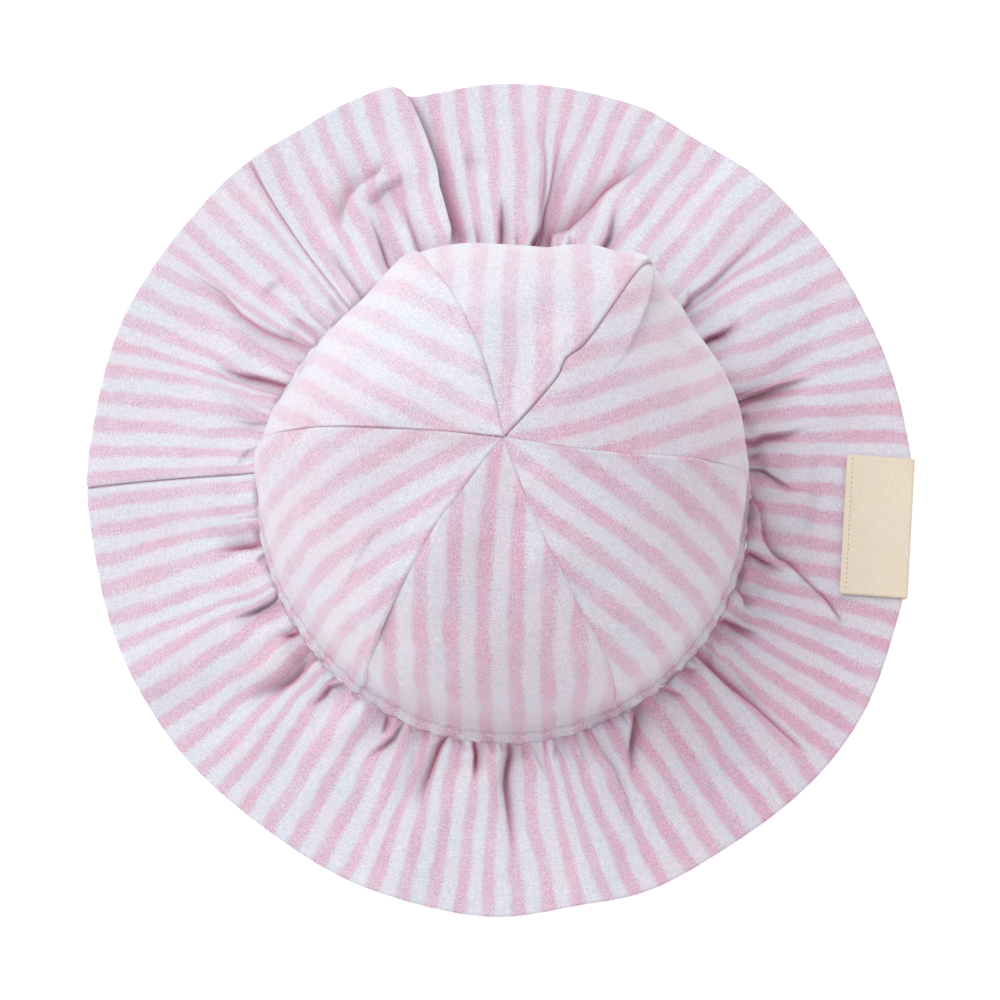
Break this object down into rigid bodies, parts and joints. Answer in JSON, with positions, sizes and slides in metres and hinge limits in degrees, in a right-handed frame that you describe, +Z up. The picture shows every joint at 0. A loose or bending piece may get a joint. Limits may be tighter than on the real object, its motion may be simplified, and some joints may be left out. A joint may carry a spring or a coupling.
{
  "type": "baby sun hat",
  "caption": "Soft baby sun hat with a domed crown sewn from striped panels, a wide gathered brim and a blank cotton label folded over the hem.",
  "frame": {"origin": "bottom centre of the hat's box, on the surface that the brim lies on", "axes": "+Z up through the crown; +X towards the label; +Y towards the overlapping fold of the brim"},
  "size_m": [0.2596, 0.2638, 0.0813],
  "materials": {
    "crown_cloth": "matte woven cotton, white and pale pink stripes",
    "brim_cloth": "matte woven cotton, white and pale pink stripes",
    "label_ribbon": "matte cream cotton ribbon"
  },
  "bodies": {
    "root": {"crown_panel_1": "crown_cloth", "crown_panel_2": "crown_cloth", "crown_panel_3": "crown_cloth", "crown_panel_4": "crown_cloth", "crown_panel_5": "crown_cloth", "crown_panel_6": "crown_cloth", "brim_long": "brim_cloth", "brim_short": "brim_cloth", "label": "label_ribbon"}
  },
  "joints": []
}
